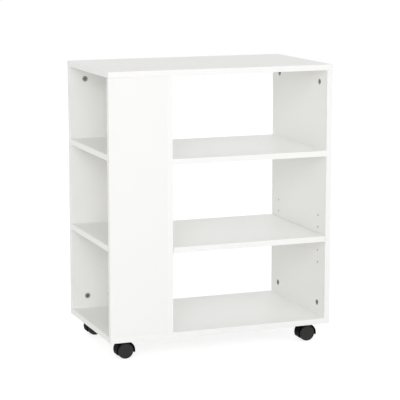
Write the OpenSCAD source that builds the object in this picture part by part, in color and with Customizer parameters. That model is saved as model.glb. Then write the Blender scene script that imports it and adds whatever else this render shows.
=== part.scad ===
// Rolling bookcase: a white board carcass on four twin-wheel castors.
// The wide right part is open from front to back. The narrow left column is closed at front and
// back by two wide panels and opens only at its left end.
// The origin is on the floor under the middle of the carcass, +Z is up, the front faces -Y and
// the column opens towards -X. Heights called "above the carcass" start at the bottom panel's underside.

/* [Carcass] */
// Width of the top and bottom panels
carcass_w = 615; // [540:5:800]
// Depth of the top and bottom panels
carcass_d = 358; // [320:2:450]
// Height from the underside of the bottom panel to the top of the top panel
carcass_h = 695; // [660:5:820]
// Thickness of every board
board_t = 15; // [15:0.5:18]
// Thickness of the edge banding
edging_t = 1; // [0.8:0.1:2]
// Radius of the banding's two outer corners
edging_r = 0.6; // [0.3:0.1:0.8]
// Width of the two wide panels that close the left column
column_w = 155; // [135:5:200]

/* [Shelves] */
// Underside of the fixed shelf of the right part, above the carcass
upper_shelf_z = 453; // [420:1:500]
// Underside of the upper shelf of the left column, above the carcass
left_upper_z = 470.5; // [420:0.5:520]
// Underside of the lower shelf of the left column, above the carcass
left_lower_z = 237.3; // [180:0.1:300]
// Play between each end of the adjustable shelf and the board beside it
shelf_play = 1; // [0.8:0.1:2]

/* [Shelf pins] */
// Lowest shelf-pin hole, above the carcass
pin_first_z = 160; // [120:1:180]
// Pitch of the shelf-pin holes
pin_pitch = 32; // [25:1:40]
// Number of shelf-pin holes in each column
pin_count = 5; // [3:1:6]
// Hole that the adjustable shelf sits on, counted from the lowest
pin_used = 3; // [1:1:3]
// Distance of each hole column from the front or back edge
pin_inset = 48; // [37:1:70]
// Diameter of the shelf pins
pin_d = 5; // [4:0.5:6]
// Depth of the shelf-pin holes
pin_hole_depth = 10; // [8:0.5:11]
// Length of a pin's flat tongue under the shelf
pin_tongue_l = 10; // [8:1:14]
// Thickness of a pin's flat tongue
pin_tongue_t = 2.4; // [2:0.2:3]

/* [Cam locks] */
// Diameter of the cam locks
cam_d = 15; // [12:1:16]
// Depth of the cam lock holes
cam_depth = 12.5; // [11.5:0.5:13]
// Depth of a cam lock's face below the board's face
cam_recess = 1; // [0.3:0.1:1.5]
// Distance from a board's end to the middle of its cam locks
cam_back = 34; // [28:1:40]
// Distance of the cam locks of the right panel, partition and fixed shelf from front and back
cam_inset = 48; // [37:1:70]
// Distance of the wide panels' cam locks from their two sides
wide_cam_inset = 44; // [38:1:50]
// Distance of the left shelves' partition cam locks from front and back
left_cam_inset = 90; // [80:1:110]
// Width of the cam bolt's shank
bolt_d = 6; // [5:0.5:7]
// Diameter of the cam bolt's threaded end
bolt_thread_d = 5; // [4:0.5:6]
// Depth of the threaded end in the board
bolt_thread_l = 11; // [9:0.5:12]

/* [Dowels] */
// Diameter of the wood dowels
dowel_d = 8; // [6:1:8]
// Depth of a dowel in the face of a board
dowel_in_face = 10; // [8:0.5:11]
// Depth of a dowel in the end of a board
dowel_in_end = 20; // [15:1:25]
// Distance of the right panel's and partition's dowels from front and back
dowel_inset = 100; // [85:1:120]

/* [Castors] */
// Height from the floor to the underside of the bottom panel
castor_h = 51; // [50:0.5:56]
// Diameter of the wheels
wheel_d = 42; // [38:1:42]
// Width over the two wheels of a castor
castor_w = 38; // [34:1:42]
// Distance of the axle behind the swivel axis
trail = 8; // [7:0.5:12]
// Distance of the left castors' swivel axes from the left end
castor_inset_left = 58; // [46:1:80]
// Distance of the right castors' swivel axes from the right end
castor_inset_right = 43; // [40:1:80]
// Distance of the swivel axes from the front and back
castor_inset_y = 47; // [42:1:70]
// Side of the square mounting plate
plate_side = 40; // [38:1:46]
// Thickness of the mounting plate
plate_t = 2; // [1.5:0.1:2.2]
// Spacing of the four screw holes in the plate
plate_pitch = 30; // [28:0.5:32]
// Diameter of the swivel pin
swivel_d = 6.5; // [5:0.5:7]
// Diameter of the axle
axle_d = 5; // [4:0.5:6]
// Thickness of the hood's web between the two wheels
web_t = 12; // [11:0.5:14]
// Room between a wheel's rim and the inside of the hood
hood_room = 1; // [0.8:0.1:1.2]

/* [Hidden] */
$fn = 48;

board_white = "#f4f3f0";
edging_white = "#f7f6f3";
zinc = "#8f9090";
steel = "#b9bbbd";
beech = "#d3ab78";
black_nylon = "#242425";

// Planes of the carcass
left_x = -carcass_w / 2;
right_x = carcass_w / 2;
front_y = -carcass_d / 2;
back_y = carcass_d / 2;
base_z = castor_h;
floor_z = base_z + board_t;
ceiling_z = base_z + carcass_h - board_t;
upright_h = carcass_h - 2 * board_t;
right_inner_x = right_x - board_t;
partition_left_x = left_x + column_w;
partition_right_x = partition_left_x + board_t;
column_front_y = front_y + board_t;
column_back_y = back_y - board_t;
upper_mid_z = base_z + upper_shelf_z + board_t / 2;
left_shelf_mids = [base_z + left_upper_z + board_t / 2, base_z + left_lower_z + board_t / 2];

// The adjustable shelf lies on its pins' tongues, level with the axis of the holes
pin_zs = [for (i = [0:pin_count - 1]) base_z + pin_first_z + i * pin_pitch];
adjustable_z = pin_zs[pin_used - 1];
pin_ys = [front_y + pin_inset, back_y - pin_inset];

// Radial clearances of fittings in their holes, room past their ends, and how far cuts overshoot
fit_gap = 0.05;
dowel_gap = 0.1;
cam_gap = 0.15;
bolt_bore_gap = 0.5;
end_gap = 0.5;
overcut = 1;

// A joint is [place on the end of the board that takes the cam or dowel, way into that board,
// way out of the face that the cam is set in]
into_right = [1, 0, 0];
into_left = [-1, 0, 0];
into_back = [0, 1, 0];
into_front = [0, -1, 0];
down = [0, 0, -1];
up = [0, 0, 1];
mirror_ys = [-1, 1];

function end_joints(x, y, face) = [[[x, y, ceiling_z], down, face], [[x, y, floor_z], up, face]];
function join_all(lists) = [for (l = lists) each l];

right_mid_x = right_x - board_t / 2;
partition_mid_x = partition_left_x + board_t / 2;
wide_mid_y = carcass_d / 2 - board_t / 2;
wide_cam_xs = [left_x + wide_cam_inset, partition_left_x - wide_cam_inset];

right_cams = join_all([for (s = mirror_ys)
    end_joints(right_mid_x, s * (carcass_d / 2 - cam_inset), into_left)]);
partition_cams = join_all([for (s = mirror_ys)
    end_joints(partition_mid_x, s * (carcass_d / 2 - cam_inset), into_left)]);
front_left_cams = join_all([for (x = wide_cam_xs) end_joints(x, -wide_mid_y, into_back)]);
back_left_cams = join_all([for (x = wide_cam_xs) end_joints(x, wide_mid_y, into_front)]);
function upper_shelf_joints(y) = [
    [[partition_right_x, y, upper_mid_z], into_right, down],
    [[right_inner_x, y, upper_mid_z], into_left, down]
];
upper_shelf_cams = join_all([for (s = mirror_ys) upper_shelf_joints(s * (carcass_d / 2 - cam_inset))]);
function left_shelf_cams(z) = concat(
    [for (s = mirror_ys) [[partition_left_x, s * (carcass_d / 2 - left_cam_inset), z], into_left, down]],
    [[[left_x + wide_cam_inset, column_front_y, z], into_back, down],
     [[left_x + wide_cam_inset, column_back_y, z], into_front, down]]);
all_left_shelf_cams = join_all([for (z = left_shelf_mids) left_shelf_cams(z)]);
upright_cams = concat(right_cams, partition_cams, front_left_cams, back_left_cams);
all_cams = concat(upright_cams, upper_shelf_cams, all_left_shelf_cams);

right_dowels = join_all([for (s = mirror_ys)
    end_joints(right_mid_x, s * (carcass_d / 2 - dowel_inset), into_left)]);
partition_dowels = join_all([for (s = mirror_ys)
    end_joints(partition_mid_x, s * (carcass_d / 2 - dowel_inset), into_left)]);
front_left_dowels = end_joints(left_x + column_w / 2, -wide_mid_y, into_back);
back_left_dowels = end_joints(left_x + column_w / 2, wide_mid_y, into_front);
// The wide panels' own dowels into the partition stand at these shares of the upright's height
wide_dowel_shares = [0.15, 0.5, 0.85];
function wide_side_dowels(y) = [for (k = wide_dowel_shares)
    [[partition_left_x, y, floor_z + k * upright_h], into_left, up]];
shelf_dowel_y = 35;
upper_shelf_dowels = join_all([for (s = mirror_ys) upper_shelf_joints(s * shelf_dowel_y)]);
left_shelf_dowels = [for (z = left_shelf_mids) [[partition_left_x, 0, z], into_left, down]];
upright_dowels = concat(right_dowels, partition_dowels, front_left_dowels, back_left_dowels);
all_wide_side_dowels = concat(wide_side_dowels(-wide_mid_y), wide_side_dowels(wide_mid_y));
all_dowels = concat(upright_dowels, all_wide_side_dowels, upper_shelf_dowels, left_shelf_dowels);

// Castor places: each name is the index of its swivel axis
front_left = 0;
front_right = 1;
back_left = 2;
back_right = 3;
castor_xs = [left_x + castor_inset_left, right_x - castor_inset_right];
castor_ys = [front_y + castor_inset_y, back_y - castor_inset_y];
castor_places = [for (y = castor_ys) for (x = castor_xs) [x, y, 0]];
near = -1;
far = 1;

plate_z = castor_h - plate_t;
plate_hole_d = 4.2;
plate_corner_r = 4;
screw_d = 3;
screw_l = 12;
screw_head_d = 7;
screw_head_rim_h = 1;
screw_head_h = 1.8;
screw_crown_d = 4.6;
screw_slot_l = 3.8;
screw_slot_w = 0.8;
screw_slot_depth = 1;
wheel_r = wheel_d / 2;
axle_z = wheel_r;
hood_inner_r = wheel_r + hood_room;
hood_shift = 1.4;
hood_top_wall = 3;
hood_r = hood_inner_r + hood_top_wall;
hood_side_setback = 2;
hood_half = castor_w / 2 - hood_side_setback;
hood_edge_r = 1.8;
hood_lead_angle = -12;
hood_tail_angle = 208;
hood_sector_steps = 5;
web_setback = 7;
web_disc_r = wheel_r - web_setback;
boss_d = 16;
washer_t = 0.5;
washer_gap = 0.1;
boss_top_z = plate_z - washer_t - 2 * washer_gap;
swivel_l = 26;
swivel_bottom_z = castor_h - swivel_l;
groove_depth = 0.4;
groove_w = 1.6;
bead_w = 1.2;
bead_depth = 0.3;
swivel_groove_z = swivel_bottom_z + 2 * groove_w;
wheel_side_gap = 0.4;
wheel_w = castor_w / 2 - web_t / 2 - wheel_side_gap;
wheel_inner_y = web_t / 2 + wheel_side_gap;
wheel_wall = 2.2;
wheel_rim = 2.8;
wheel_hub_wall = 3;
wheel_hub_r = axle_d / 2 + wheel_hub_wall;
wheel_edge_r = 3.5;
wheel_cap_r = 5;
wheel_dish_r = wheel_r - 4.5;
wheel_dish_depth = 0.5;
axle_end_wall = 2;
axle_reach = wheel_inner_y + wheel_w - axle_end_wall;
axle_end_gap = 0.3;
axle_groove_y = axle_reach - 2.5 * groove_w;

// Places its children with local X along a, local Y along b and local Z along their cross product
module orient(place, a, b) {
    c = cross(a, b);
    multmatrix([
        [a[0], b[0], c[0], place[0]],
        [a[1], b[1], c[1], place[1]],
        [a[2], b[2], c[2], place[2]],
        [0, 0, 0, 1]
    ]) children();
}

// A joint's local X runs into the end-drilled board, and its local Z out of the cam's face
module at_joint(joint) orient(joint[0], joint[1], cross(joint[2], joint[1])) children();

module rod_along_x(d, from, to) translate([from, 0, 0]) rotate([0, 90, 0]) cylinder(d = d, h = to - from);
module rod_along_y(d, from, to) translate([0, to, 0]) rotate([90, 0, 0]) cylinder(d = d, h = to - from);
module box(low, high) translate(low) cube(high - low);

// Holes of a cam joint in the board that takes the cam
module cam_hole(joint) at_joint(joint) {
    translate([cam_back, 0, board_t / 2 - cam_depth]) cylinder(d = cam_d, h = cam_depth + overcut);
    rod_along_x(bolt_d + 2 * bolt_bore_gap, -overcut, cam_back);
}
// Hole of a cam joint in the face that takes the bolt's thread
module bolt_hole(joint) at_joint(joint) rod_along_x(bolt_thread_d, -bolt_thread_l, overcut);
module dowel_end_hole(joint) at_joint(joint) rod_along_x(dowel_d, -overcut, dowel_in_end + end_gap);
module dowel_face_hole(joint) at_joint(joint) rod_along_x(dowel_d, -dowel_in_face - end_gap, overcut);
module cam_holes(joints) for (j = joints) cam_hole(j);
module bolt_holes(joints) for (j = joints) bolt_hole(j);
module dowel_end_holes(joints) for (j = joints) dowel_end_hole(j);
module dowel_face_holes(joints) for (j = joints) dowel_face_hole(j);

// Column of shelf-pin holes from the face at x, drilled towards way
module pin_holes(x, way) for (y = pin_ys) for (z = pin_zs)
    orient([x, y, z], way, up) rod_along_x(pin_d, -overcut, pin_hole_depth);

// The full-width panel whose underside is at z, before its holes
module deck(z)
    box([left_x + edging_t, front_y + edging_t, z], [right_x - edging_t, back_y - edging_t, z + board_t]);

module top_panel() color(board_white) difference() {
    deck(ceiling_z);
    bolt_holes([for (j = upright_cams) if (j[1] == down) j]);
    dowel_face_holes([for (j = upright_dowels) if (j[1] == down) j]);
}

module bottom_panel() color(board_white) difference() {
    deck(base_z);
    bolt_holes([for (j = upright_cams) if (j[1] == up) j]);
    dowel_face_holes([for (j = upright_dowels) if (j[1] == up) j]);
    for (c = castor_places) translate(c) at_plate_holes() cylinder(d = screw_d, h = base_z + screw_l);
}

// Full-depth upright between the decks, from x to x + board_t, before its holes
module upright(x) box([x, front_y + edging_t, floor_z], [x + board_t, back_y - edging_t, ceiling_z]);

module right_side_panel() color(board_white) difference() {
    upright(right_inner_x);
    cam_holes(right_cams);
    dowel_end_holes(right_dowels);
    bolt_holes([for (j = upper_shelf_cams) if (j[1] == into_left) j]);
    dowel_face_holes([for (j = upper_shelf_dowels) if (j[1] == into_left) j]);
    pin_holes(right_inner_x, into_right);
}

module partition_panel() color(board_white) difference() {
    upright(partition_left_x);
    cam_holes(partition_cams);
    dowel_end_holes(partition_dowels);
    bolt_holes([for (j = upper_shelf_cams) if (j[1] == into_right) j]);
    dowel_face_holes([for (j = upper_shelf_dowels) if (j[1] == into_right) j]);
    bolt_holes([for (j = all_left_shelf_cams) if (j[1] == into_left) j]);
    dowel_face_holes(left_shelf_dowels);
    dowel_face_holes(all_wide_side_dowels);
    pin_holes(partition_right_x, into_left);
}

// Wide panel of the left column, its outer or inner face at y, before its holes
module wide_panel(y) box([left_x + edging_t, y, floor_z], [partition_left_x, y + board_t, ceiling_z]);

module front_left_panel() color(board_white) difference() {
    wide_panel(front_y);
    cam_holes(front_left_cams);
    dowel_end_holes(front_left_dowels);
    dowel_end_holes(wide_side_dowels(-wide_mid_y));
    bolt_holes([for (j = all_left_shelf_cams) if (j[1] == into_back) j]);
}

module back_left_panel() color(board_white) difference() {
    wide_panel(column_back_y);
    cam_holes(back_left_cams);
    dowel_end_holes(back_left_dowels);
    dowel_end_holes(wide_side_dowels(wide_mid_y));
    bolt_holes([for (j = all_left_shelf_cams) if (j[1] == into_front) j]);
}

module upper_shelf() color(board_white) difference() {
    box([partition_right_x, front_y + edging_t, base_z + upper_shelf_z],
        [right_inner_x, back_y - edging_t, base_z + upper_shelf_z + board_t]);
    cam_holes(upper_shelf_cams);
    dowel_end_holes(upper_shelf_dowels);
}

module adjustable_shelf() color(board_white)
    box([partition_right_x + shelf_play + edging_t, front_y + edging_t, adjustable_z],
        [right_inner_x - shelf_play - edging_t, back_y - edging_t, adjustable_z + board_t]);

// Shelf of the left column whose mid-plane is at z
module left_shelf(z) color(board_white) difference() {
    box([left_x + edging_t, column_front_y, z - board_t / 2],
        [partition_left_x, column_back_y, z + board_t / 2]);
    cam_holes([for (j = all_left_shelf_cams) if (j[0][2] == z) j]);
    dowel_end_holes([for (j = left_shelf_dowels) if (j[0][2] == z) j]);
}
module left_upper_shelf() left_shelf(left_shelf_mids[0]);
module left_lower_shelf() left_shelf(left_shelf_mids[1]);

// Cross-section of the edge banding: X is out of the board, Y across its thickness
module edging_section() intersection() {
    translate([0, -board_t / 2]) square([edging_t, board_t]);
    union() {
        translate([0, -board_t / 2]) square([edging_t - edging_r, board_t]);
        translate([0, edging_r - board_t / 2]) square([edging_t, board_t - 2 * edging_r]);
        for (s = [-1, 1])
            translate([edging_t - edging_r, s * (board_t / 2 - edging_r)]) circle(r = edging_r);
    }
}
// Strip of banding centred on place, lying on the board's edge there and facing out
module strip(place, out, across, l) color(edging_white)
    orient(place, out, across) linear_extrude(l, center = true) edging_section();

// Front and back strips of a full-depth board between the heights or widths that l spans
module front_and_back_strips(x, z, across, l) {
    strip([x, front_y + edging_t, z], into_front, across, l);
    strip([x, back_y - edging_t, z], into_back, across, l);
}
module deck_edging(z) {
    front_and_back_strips(0, z + board_t / 2, up, carcass_w);
    for (s = [into_left, into_right])
        strip([s[0] * (carcass_w / 2 - edging_t), 0, z + board_t / 2], s, up, carcass_d - 2 * edging_t);
}
module top_edging() deck_edging(ceiling_z);
module bottom_edging() deck_edging(base_z);

module upright_edging() {
    mid_z = (floor_z + ceiling_z) / 2;
    front_and_back_strips(right_mid_x, mid_z, into_right, upright_h);
    front_and_back_strips(partition_mid_x, mid_z, into_right, upright_h);
    for (y = [-wide_mid_y, wide_mid_y])
        strip([left_x + edging_t, y, mid_z], into_left, into_back, upright_h);
}

module shelf_edging() {
    shelf_mid_x = (partition_right_x + right_inner_x) / 2;
    shelf_l = right_inner_x - partition_right_x;
    adjustable_l = shelf_l - 2 * shelf_play;
    adjustable_mid_z = adjustable_z + board_t / 2;
    front_and_back_strips(shelf_mid_x, upper_mid_z, up, shelf_l);
    front_and_back_strips(shelf_mid_x, adjustable_mid_z, up, adjustable_l);
    for (s = [into_left, into_right])
        strip([shelf_mid_x + s[0] * (adjustable_l / 2 - edging_t), 0, adjustable_mid_z], s, up,
            carcass_d - 2 * edging_t);
    for (z = left_shelf_mids)
        strip([left_x + edging_t, 0, z], into_left, up, column_back_y - column_front_y);
}

// Cam lock in its hole, turned to its locked place. Its dished face has a cross slot for the
// driver and an arrow that points to the bolt. The bolt's head fills the cavity behind the jaw.
cam_r = cam_d / 2 - cam_gap;
cam_face_z = board_t / 2 - cam_recess;
cam_rim = 0.9;
cam_dish_depth = 0.3;
cam_slot_l = 8;
cam_slot_w = 2.2;
cam_slot_depth = 2.4;
cam_arrow_l = 1.4;
cam_arrow_w = 2.2;
cam_arrow_depth = 0.5;
cavity_gap = 0.3;
jaw_l = 3.4;
bolt_head_d = bolt_d + 0.6;
bolt_head_l = 3;
bolt_neck_d = 3.8;
bolt_collar_d = bolt_d + 0.8;
bolt_collar_l = 1;
module cam_lock() translate([cam_back, 0, 0]) difference() {
    translate([0, 0, board_t / 2 - cam_depth]) cylinder(r = cam_r, h = cam_depth - cam_recess);
    rod_along_x(bolt_head_d + 2 * cavity_gap, jaw_l - cam_r, jaw_l - cam_r + bolt_head_l + 2 * cavity_gap);
    rod_along_x(bolt_neck_d + 2 * cavity_gap, -cam_d, 0);
    translate([0, 0, cam_face_z - cam_dish_depth])
        cylinder(r = cam_r - cam_rim, h = cam_dish_depth + overcut);
    for (a = [0, 90]) rotate([0, 0, a])
        translate([-cam_slot_l / 2, -cam_slot_w / 2, cam_face_z - cam_slot_depth])
            cube([cam_slot_l, cam_slot_w, cam_slot_depth + overcut]);
    translate([cam_rim - cam_r, 0, cam_face_z - cam_dish_depth - cam_arrow_depth])
        linear_extrude(cam_arrow_depth + overcut)
            polygon([[0, 0], [cam_arrow_l, cam_arrow_w / 2], [cam_arrow_l, -cam_arrow_w / 2]]);
}
module cam_locks() color(zinc) for (j = all_cams) at_joint(j) cam_lock();

// Cam bolt: thread in one board's face, collar, shank and neck in the other's end, head in the cam
module cam_bolt() {
    shank_end = cam_back - cam_r - cavity_gap;
    head_start = cam_back - cam_r + jaw_l + cavity_gap;
    rod_along_x(bolt_thread_d - 2 * fit_gap, end_gap - bolt_thread_l, 0);
    rod_along_x(bolt_collar_d, 0, bolt_collar_l);
    rod_along_x(bolt_d, bolt_collar_l, shank_end);
    rod_along_x(bolt_neck_d, shank_end, head_start);
    rod_along_x(bolt_head_d, head_start, head_start + bolt_head_l);
}
module cam_bolts() color(steel) for (j = all_cams) at_joint(j) cam_bolt();

// Dowel with chamfered ends, set dry between two boards
dowel_chamfer = 1;
module wood_dowel() {
    r = dowel_d / 2 - dowel_gap;
    l = dowel_in_face + dowel_in_end;
    translate([-dowel_in_face, 0, 0]) rotate([0, 90, 0]) rotate_extrude() polygon([
        [0, 0], [r - dowel_chamfer, 0], [r, dowel_chamfer],
        [r, l - dowel_chamfer], [r - dowel_chamfer, l], [0, l]
    ]);
}
module wood_dowels() color(beech) for (j = all_dowels) at_joint(j) wood_dowel();

// Shelf pin: peg in the hole, thin collar on the board's face, flat tongue under the shelf.
// Local X runs into the board and local Y up.
pin_collar_gap = 0.2;
pin_collar_d = pin_d + 3;
module shelf_pin() {
    rod_along_x(pin_d - 2 * fit_gap, 0, pin_hole_depth - end_gap);
    rod_along_x(pin_collar_d, pin_collar_gap - shelf_play, 0);
    translate([-pin_tongue_l, -pin_tongue_t, -pin_collar_d / 2])
        cube([pin_tongue_l, pin_tongue_t, pin_collar_d]);
}
module shelf_pins() color(steel) for (y = pin_ys) {
    orient([partition_right_x, y, adjustable_z], into_left, up) shelf_pin();
    orient([right_inner_x, y, adjustable_z], into_right, up) shelf_pin();
}

module at_plate_holes() for (x = [-1, 1]) for (y = [-1, 1])
    translate([x * plate_pitch / 2, y * plate_pitch / 2, 0]) children();

module plate_outline() {
    half = plate_side / 2;
    square([plate_side, plate_side - 2 * plate_corner_r], center = true);
    square([plate_side - 2 * plate_corner_r, plate_side], center = true);
    for (x = [-1, 1]) for (y = [-1, 1])
        translate([x * (half - plate_corner_r), y * (half - plate_corner_r)]) circle(r = plate_corner_r);
}
module castor_plate(corner) color(steel) translate(castor_places[corner]) difference() {
    translate([0, 0, plate_z]) linear_extrude(plate_t) plate_outline();
    cylinder(d = swivel_d, h = castor_h + overcut);
    at_plate_holes() cylinder(d = plate_hole_d, h = castor_h + overcut);
}

// Pan-head screw, driven up through the plate
module castor_screw() difference() {
    union() {
        translate([0, 0, plate_z - screw_head_rim_h]) cylinder(d = screw_head_d, h = screw_head_rim_h);
        translate([0, 0, plate_z - screw_head_h])
            cylinder(d1 = screw_crown_d, d2 = screw_head_d, h = screw_head_h - screw_head_rim_h);
        translate([0, 0, plate_z]) cylinder(d = screw_d - 2 * fit_gap, h = plate_t + screw_l - end_gap);
    }
    for (a = [0, 90]) rotate([0, 0, a])
        translate([-screw_slot_l / 2, -screw_slot_w / 2, plate_z - screw_head_h - overcut])
            cube([screw_slot_l, screw_slot_w, overcut + screw_slot_depth]);
}
module castor_screws() color(steel) for (c = castor_places) translate(c) at_plate_holes() castor_screw();

module ring(inner_r, outer_r, z, h) translate([0, 0, z]) difference() {
    cylinder(r = outer_r, h = h);
    translate([0, 0, -overcut]) cylinder(r = inner_r, h = h + 2 * overcut);
}

// Swivel pin: riveted flush in the plate, with a groove near its foot that the hood's bead snaps into
module swivel_pins() color(steel) for (c = castor_places) translate(c) difference() {
    translate([0, 0, swivel_bottom_z]) cylinder(d = swivel_d, h = swivel_l);
    ring(swivel_d / 2 - groove_depth, swivel_d, swivel_groove_z, groove_w);
}
module swivel_washers() color(steel) for (c = castor_places) translate(c)
    ring(swivel_d / 2 + fit_gap, boss_d / 2, boss_top_z + washer_gap, washer_t);

// Hood: a mudguard over both wheels, a web between them and the boss that takes the swivel pin
module hood_section() {
    square([hood_r - hood_edge_r, 2 * hood_half]);
    translate([0, hood_edge_r]) square([hood_r, 2 * (hood_half - hood_edge_r)]);
    for (y = [hood_edge_r, 2 * hood_half - hood_edge_r])
        translate([hood_r - hood_edge_r, y]) circle(r = hood_edge_r);
}
module hood_sector() {
    reach = 2 * hood_r;
    step = (hood_tail_angle - hood_lead_angle) / hood_sector_steps;
    polygon(concat([[0, 0]], [for (i = [0:hood_sector_steps])
        let (a = hood_lead_angle + i * step) reach * [cos(a), sin(a)]]));
}
module castor_hood(corner) color(black_nylon) translate(castor_places[corner]) {
    difference() {
        union() {
            intersection() {
                translate([hood_shift - trail, hood_half, axle_z]) rotate([90, 0, 0])
                    rotate_extrude() hood_section();
                translate([-trail, 0, axle_z]) rotate([90, 0, 0])
                    linear_extrude(castor_w, center = true) hood_sector();
            }
            translate([-trail, 0, axle_z]) rod_along_y(2 * web_disc_r, -web_t / 2, web_t / 2);
            translate([0, 0, axle_z]) cylinder(d = boss_d, h = boss_top_z - axle_z);
        }
        for (y = [-castor_w, web_t / 2])
            translate([-trail, 0, axle_z]) rod_along_y(2 * hood_inner_r, y, y + castor_w - web_t / 2);
        translate([-trail, 0, axle_z]) rod_along_y(axle_d, -castor_w, castor_w);
        translate([0, 0, swivel_bottom_z - end_gap]) cylinder(d = swivel_d + 2 * fit_gap, h = castor_h);
    }
    ring(swivel_d / 2 - bead_depth + fit_gap, swivel_d / 2 + fit_gap,
        swivel_groove_z + (groove_w - bead_w) / 2, bead_w);
}

// Axle: pressed through the web, with a groove at each end that a wheel's bead snaps into
module axle(corner) color(steel) translate(castor_places[corner]) translate([-trail, 0, axle_z])
    rotate([90, 0, 0]) difference() {
        cylinder(d = axle_d, h = 2 * axle_reach, center = true);
        for (s = [-1, 1])
            ring(axle_d / 2 - groove_depth, axle_d, s * axle_groove_y - groove_w / 2, groove_w);
    }

// Half section of a wheel: X is the radius, Y runs from its inner to its outer face
module wheel_section() {
    bore_r = axle_d / 2 + fit_gap;
    difference() {
        union() {
            square([wheel_r - wheel_edge_r, wheel_w]);
            square([wheel_r, wheel_w - wheel_edge_r]);
            translate([wheel_r - wheel_edge_r, wheel_w - wheel_edge_r]) circle(r = wheel_edge_r);
        }
        translate([-overcut, -overcut])
            square([bore_r + overcut, axle_reach - wheel_inner_y + axle_end_gap + overcut]);
        translate([wheel_hub_r, -overcut])
            square([wheel_r - wheel_rim - wheel_hub_r, wheel_w - wheel_wall + overcut]);
        translate([wheel_cap_r, wheel_w - wheel_dish_depth])
            square([wheel_dish_r - wheel_cap_r, overcut]);
    }
    translate([bore_r - bead_depth, axle_groove_y - wheel_inner_y - bead_w / 2])
        square([(bore_r + wheel_hub_r) / 2 - bore_r + bead_depth, bead_w]);
}
// The near wheel faces the front, the far wheel the back
module wheel(corner, side) color(black_nylon) translate(castor_places[corner])
    translate([-trail, side * wheel_inner_y, axle_z]) rotate([-side * 90, 0, 0])
        rotate_extrude() wheel_section();

top_panel();
bottom_panel();
right_side_panel();
partition_panel();
front_left_panel();
back_left_panel();
upper_shelf();
adjustable_shelf();
left_upper_shelf();
left_lower_shelf();
top_edging();
bottom_edging();
upright_edging();
shelf_edging();
cam_locks();
cam_bolts();
wood_dowels();
shelf_pins();
castor_screws();
swivel_pins();
swivel_washers();
castor_plate(front_left);  // castor_plate_front_left
castor_plate(front_right);  // castor_plate_front_right
castor_plate(back_left);  // castor_plate_back_left
castor_plate(back_right);  // castor_plate_back_right
castor_hood(front_left);  // castor_hood_front_left
castor_hood(front_right);  // castor_hood_front_right
castor_hood(back_left);  // castor_hood_back_left
castor_hood(back_right);  // castor_hood_back_right
axle(front_left);  // axle_front_left
axle(front_right);  // axle_front_right
axle(back_left);  // axle_back_left
axle(back_right);  // axle_back_right
wheel(front_left, near);  // wheel_near_front_left
wheel(front_left, far);  // wheel_far_front_left
wheel(front_right, near);  // wheel_near_front_right
wheel(front_right, far);  // wheel_far_front_right
wheel(back_left, near);  // wheel_near_back_left
wheel(back_left, far);  // wheel_far_back_left
wheel(back_right, near);  // wheel_near_back_right
wheel(back_right, far);  // wheel_far_back_right
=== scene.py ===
import math
import bpy
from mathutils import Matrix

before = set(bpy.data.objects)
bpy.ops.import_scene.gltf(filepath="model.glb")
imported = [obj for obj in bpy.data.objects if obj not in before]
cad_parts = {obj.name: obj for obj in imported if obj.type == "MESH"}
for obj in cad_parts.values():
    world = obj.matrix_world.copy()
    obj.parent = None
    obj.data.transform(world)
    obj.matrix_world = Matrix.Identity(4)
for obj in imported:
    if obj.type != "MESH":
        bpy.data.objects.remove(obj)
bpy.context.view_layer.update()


# The view. The camera stands to the front left of the cabinet, a little above its top,
# and looks down at it with a long lens. Places are in metres, turns in degrees.
camera_place = (-1.5454, -4.0551, 1.1273)
tilt_down = 9.815
turn_right = 20.918
camera = bpy.data.objects.new("camera", bpy.data.cameras.new("camera"))
bpy.context.scene.collection.objects.link(camera)
camera.location = camera_place
camera.rotation_euler = (math.radians(90 - tilt_down), 0, math.radians(-turn_right))
camera.data.lens = 147.66
camera.data.sensor_width = 36
bpy.context.scene.camera = camera


# The boards. Chipboard with a white melamine paper pressed on both faces, sawn to size and
# drilled for the cams, bolts, dowels and pins. The paper gives a soft, even sheen, and the
# drill opens the brown chips inside.
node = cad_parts
mm = 0.001
board_thickness = 15 * mm
paper_thickness = 0.2 * mm
chip_length = 2.5 * mm
# The paper's pearl grain of about 0.8 mm is drawn at 1.6 mm, so that it shows
pearl_width = 1.6 * mm
pearl_height = 0.03 * mm


def linear(hex_colour):
    """The linear RGBA of an sRGB hex colour."""
    channels = [int(hex_colour[i:i + 2], 16) / 255 for i in (1, 3, 5)]
    return (*[c / 12.92 if c <= 0.04045 else ((c + 0.055) / 1.055) ** 2.4 for c in channels], 1)


def add(tree, kind, inputs, **settings):
    """A new node with its settings, its values and its links from other sockets."""
    made = tree.nodes.new("ShaderNode" + kind)
    for name, value in settings.items():
        setattr(made, name, value)
    for name, value in inputs.items():
        if isinstance(value, bpy.types.NodeSocket):
            tree.links.new(value, made.inputs[name])
        else:
            made.inputs[name].default_value = value
    return made


def new_material(name, **shader):
    """A material, its tree and its surface shader with the values given."""
    made = bpy.data.materials.new(name)
    made.use_nodes = True
    surface = made.node_tree.nodes["Principled BSDF"]
    for socket, value in shader.items():
        surface.inputs[socket.replace("_", " ")].default_value = value
    return made, made.node_tree, surface


def dress(names, material):
    """Gives every CAD node of the list one material."""
    for name in names:
        node[name].data.materials.clear()
        node[name].data.materials.append(material)


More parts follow.
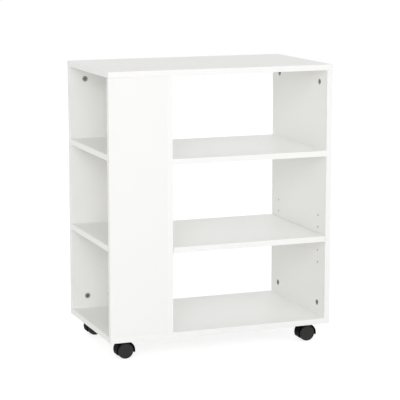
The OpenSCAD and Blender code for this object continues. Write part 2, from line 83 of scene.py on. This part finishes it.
def melamine_faced_board(axis):
    """White melamine on the two faces across the axis, bare chipboard wherever the board is cut."""
    material, tree, surface = new_material("melamine_faced_chipboard_" + axis,
                                           IOR=1.6, Roughness=0.42)
    place = add(tree, "TexCoord", {})
    # Across the board from 0 to 1, the middle is at 0.5, and only the paper lies further out
    middle = 0.5
    across = add(tree, "SeparateXYZ", {"Vector": place.outputs["Generated"]})
    offset = add(tree, "Math", {0: across.outputs[axis], 1: middle}, operation="SUBTRACT")
    from_middle = add(tree, "Math", {0: offset.outputs[0]}, operation="ABSOLUTE")
    face = add(tree, "Math", {0: from_middle.outputs[0], 1: middle - paper_thickness / board_thickness},
               operation="GREATER_THAN")
    # Chips of every tone from grey brown to pale
    chips = add(tree, "TexVoronoi", {"Vector": place.outputs["Object"], "Scale": 1 / chip_length})
    chip_tone = add(tree, "SeparateColor", {"Color": chips.outputs["Color"]})
    chip_colour = add(tree, "Mix", {"Factor": chip_tone.outputs["Red"], "A": linear("#6b5743"),
                                    "B": linear("#a48a68")}, data_type="RGBA")
    colour = add(tree, "Mix", {"Factor": face.outputs[0], "A": chip_colour.outputs["Result"],
                               "B": linear("#f8f8f6")}, data_type="RGBA")
    tree.links.new(colour.outputs["Result"], surface.inputs["Base Color"])
    pearl = add(tree, "TexNoise", {"Vector": place.outputs["Object"], "Scale": 1 / pearl_width,
                                   "Detail": 1})
    relief = add(tree, "Bump", {"Height": pearl.outputs["Fac"], "Distance": pearl_height})
    tree.links.new(relief.outputs["Normal"], surface.inputs["Normal"])
    return material


dress(["right_side_panel", "partition_panel"], melamine_faced_board("X"))
dress(["front_left_panel", "back_left_panel"], melamine_faced_board("Y"))
dress(["top_panel", "bottom_panel", "upper_shelf", "adjustable_shelf",
       "left_upper_shelf", "left_lower_shelf"], melamine_faced_board("Z"))


# The edging. White ABS strip 1 mm thick, glued round every edge that shows, then milled round
# at its two corners and buffed, which leaves it faintly rippled and glossier than the boards.
ripple_length = 6 * mm
ripple_height = 0.04 * mm
abs_strip, tree, surface = new_material("buffed_white_abs", Base_Color=linear("#fafaf8"),
                                        IOR=1.54, Roughness=0.34)
place = add(tree, "TexCoord", {})
ripple = add(tree, "TexNoise", {"Vector": place.outputs["Object"], "Scale": 1 / ripple_length,
                                "Detail": 2})
relief = add(tree, "Bump", {"Height": ripple.outputs["Fac"], "Distance": ripple_height})
tree.links.new(relief.outputs["Normal"], surface.inputs["Normal"])
dress(["top_edging", "bottom_edging", "upright_edging", "shelf_edging"], abs_strip)


# The dowels. Turned beech, 8 mm thick, knocked in dry between two boards to line them up. The
# bare wood is dull and pale, with small brown flecks.
fleck_length = 1.5 * mm
beech, tree, surface = new_material("turned_beech", IOR=1.5, Roughness=0.7)
place = add(tree, "TexCoord", {})
flecks = add(tree, "TexNoise", {"Vector": place.outputs["Object"], "Scale": 1 / fleck_length,
                                "Detail": 3})
colour = add(tree, "Mix", {"Factor": flecks.outputs["Fac"], "A": linear("#b98d58"),
                           "B": linear("#dcb988")}, data_type="RGBA")
tree.links.new(colour.outputs["Result"], surface.inputs["Base Color"])
dress(["wood_dowels"], beech)


# The cam locks. Zinc discs 15 mm wide, cast in a die and tumbled, turned with a screwdriver in
# their cross slot until they draw the bolt tight. Their faces lie a little below the board's,
# mottled by the casting and dull when seen at a slant.
mottle_width = 2.2 * mm
mottle_height = 0.06 * mm
slot_reach = 3 * mm
closed_in = 0.35
open_to_air = 0.9
zinc, tree, surface = new_material("die_cast_zinc", Metallic=1, Roughness=0.5,
                                   Specular_Tint=(0.1, 0.1, 0.1, 1))
place = add(tree, "TexCoord", {})
mottle = add(tree, "TexNoise", {"Vector": place.outputs["Object"], "Scale": 1 / mottle_width,
                                "Detail": 3})
metal = add(tree, "Mix", {"Factor": mottle.outputs["Fac"], "A": linear("#a9a79f"),
                          "B": linear("#cfcdc5")}, data_type="RGBA")
# Painted shade: where the lock's own metal closes it in, as in the cross slot, the zinc is painted a
# dark grey
slot = add(tree, "AmbientOcclusion", {"Distance": slot_reach}, samples=8, only_local=True)
unshaded_share = add(tree, "MapRange", {"Value": slot.outputs["AO"], "From Min": closed_in,
                               "From Max": open_to_air})
colour = add(tree, "Mix", {"Factor": unshaded_share.outputs["Result"], "A": linear("#1b1a18"),
                           "B": metal.outputs["Result"]}, data_type="RGBA")
tree.links.new(colour.outputs["Result"], surface.inputs["Base Color"])
relief = add(tree, "Bump", {"Height": mottle.outputs["Fac"], "Distance": mottle_height})
tree.links.new(relief.outputs["Normal"], surface.inputs["Normal"])
dress(["cam_locks"], zinc)


# The small steel parts: cam bolts, shelf pins, screws, castor plates, swivel pins, washers and
# axles. Plain steel, zinc plated in a bath, which gives it a bright, faintly blue, cloudy shine.
corners = ["front_left", "front_right", "back_left", "back_right"]
cloud_width = 5 * mm
clear_roughness = 0.24
clouded_roughness = 0.38
steel, tree, surface = new_material("zinc_plated_steel", Metallic=1)
place = add(tree, "TexCoord", {})
cloud = add(tree, "TexNoise", {"Vector": place.outputs["Object"], "Scale": 1 / cloud_width,
                               "Detail": 3})
colour = add(tree, "Mix", {"Factor": cloud.outputs["Fac"], "A": linear("#b9bdc2"),
                           "B": linear("#d6d7d8")}, data_type="RGBA")
tree.links.new(colour.outputs["Result"], surface.inputs["Base Color"])
shine = add(tree, "MapRange", {"Value": cloud.outputs["Fac"], "To Min": clear_roughness,
                               "To Max": clouded_roughness})
tree.links.new(shine.outputs["Result"], surface.inputs["Roughness"])
dress(["cam_bolts", "shelf_pins", "castor_screws", "swivel_pins", "swivel_washers"], steel)
dress(["castor_plate_" + corner for corner in corners], steel)
dress(["axle_" + corner for corner in corners], steel)


# The castor hoods. Black nylon, injection moulded in one with the web and the swivel boss. The
# mould is spark eroded, so the hood is matt with an even fine grain of about 0.3 mm, drawn at
# 0.9 mm so that it shows.
grain_width = 0.9 * mm
grain_height = 0.05 * mm
hood_nylon, tree, surface = new_material("grained_black_nylon", Base_Color=linear("#0a0a0b"),
                                         IOR=1.53, Roughness=0.5, Specular_IOR_Level=0.02)
place = add(tree, "TexCoord", {})
grain = add(tree, "TexNoise", {"Vector": place.outputs["Object"], "Scale": 1 / grain_width,
                               "Detail": 2})
relief = add(tree, "Bump", {"Height": grain.outputs["Fac"], "Distance": grain_height})
tree.links.new(relief.outputs["Normal"], surface.inputs["Normal"])
dress(["castor_hood_" + corner for corner in corners], hood_nylon)


# The wheels. Black nylon too, from a polished mould, so smoother than the hood. Use has scuffed
# them, which leaves greyer and duller patches.
scuff_length = 4 * mm
polished_roughness = 0.36
scuffed_roughness = 0.48
wheel_nylon, tree, surface = new_material("smooth_black_nylon", IOR=1.53, Specular_IOR_Level=0.35)
place = add(tree, "TexCoord", {})
scuffs = add(tree, "TexNoise", {"Vector": place.outputs["Object"], "Scale": 1 / scuff_length,
                                "Detail": 4})
colour = add(tree, "Mix", {"Factor": scuffs.outputs["Fac"], "A": linear("#161617"),
                           "B": linear("#222224")}, data_type="RGBA")
tree.links.new(colour.outputs["Result"], surface.inputs["Base Color"])
shine = add(tree, "MapRange", {"Value": scuffs.outputs["Fac"], "To Min": polished_roughness,
                               "To Max": scuffed_roughness})
tree.links.new(shine.outputs["Result"], surface.inputs["Roughness"])
dress(["wheel_near_" + corner for corner in corners], wheel_nylon)
dress(["wheel_far_" + corner for corner in corners], wheel_nylon)


# The floor. Plain and matt white, it runs on far past the view. Where it is looked at, it is a
# glow with a grey under it: the two together are just white, and the grey takes the shadow.
floor_reach = 40
glow_strength = 0.8
catcher_grey = (0.39, 0.39, 0.39, 1)
floor_mesh = bpy.data.meshes.new("floor")
floor_mesh.from_pydata([(-floor_reach, -floor_reach, 0), (floor_reach, -floor_reach, 0),
                        (floor_reach, floor_reach, 0), (-floor_reach, floor_reach, 0)],
                       [], [(0, 1, 2, 3)])
floor = bpy.data.objects.new("floor", floor_mesh)
bpy.context.scene.collection.objects.link(floor)


def looked_at(tree):
    """1 for a ray that shows the thing itself or its mirror image, 0 for one that only lights others."""
    ray = add(tree, "LightPath", {})
    seen_or_mirrored = add(tree, "Math", {0: ray.outputs["Is Camera Ray"],
                                          1: ray.outputs["Is Glossy Ray"]}, operation="MAXIMUM")
    any_view = add(tree, "Math", {0: seen_or_mirrored.outputs[0],
                                  1: ray.outputs["Is Transmission Ray"]}, operation="MAXIMUM")
    return any_view.outputs[0]


floor_white, tree, surface = new_material("matt_white_floor", Base_Color=linear("#eeeeec"),
                                          Roughness=0.9)
glow = add(tree, "Emission", {"Color": linear("#ffffff"), "Strength": glow_strength})
shadow_catcher = add(tree, "BsdfDiffuse", {"Color": catcher_grey})
bright = add(tree, "AddShader", {0: glow.outputs[0], 1: shadow_catcher.outputs[0]})
shown = add(tree, "MixShader", {"Fac": looked_at(tree), 1: surface.outputs[0],
                                2: bright.outputs[0]})
tree.links.new(shown.outputs[0], tree.nodes["Material Output"].inputs["Surface"])
floor_mesh.materials.append(floor_white)


# The surround. White all round where it is looked at, and a dimmer, slightly warm light from
# every side on the cabinet.
fill_colour = (1, 0.985, 0.965, 1)
fill_strength = 0.53
world = bpy.data.worlds.new("white_surround")
world.use_nodes = True
tree = world.node_tree
fill = add(tree, "Background", {"Color": fill_colour, "Strength": fill_strength})
white = add(tree, "Background", {"Color": linear("#ffffff"), "Strength": 1})
shown = add(tree, "MixShader", {"Fac": looked_at(tree), 1: fill.outputs[0], 2: white.outputs[0]})
tree.links.new(shown.outputs[0], tree.nodes["World Output"].inputs["Surface"])
bpy.context.scene.world = world


# The lamps. Three softboxes: the one at the front left makes the front the brightest side, the
# high one at the front right and the one behind light the shelves and the top.
lamp_width = 3.3
lamp_colour = (0.96, 0.97, 1)
lamp_distance = 6
cabinet_middle = 0.4


def softbox(name, watts, azimuth, height):
    """A square lamp on a circle round the cabinet, 0 degrees in front, turned to its middle."""
    lamp = bpy.data.objects.new(name, bpy.data.lights.new(name, "AREA"))
    bpy.context.scene.collection.objects.link(lamp)
    lamp.data.shape = "SQUARE"
    lamp.data.size = lamp_width
    lamp.data.energy = watts
    lamp.data.color = lamp_colour
    # At a low angle its mirror image would wash out the top, so only the surround is mirrored
    lamp.visible_glossy = False
    around = math.radians(azimuth)
    lamp.location = (lamp_distance * math.sin(around), -lamp_distance * math.cos(around), height)
    look_down = math.atan2(height - cabinet_middle, lamp_distance)
    lamp.rotation_euler = (math.pi / 2 - look_down, 0, around)


softbox("front_left_softbox", watts=145, azimuth=-26, height=2.3)
softbox("front_right_softbox", watts=57, azimuth=25, height=3.9)
softbox("back_softbox", watts=130, azimuth=180, height=2.7)


# The colours. They come out as they are written above.
bpy.context.scene.view_settings.view_transform = "Standard"
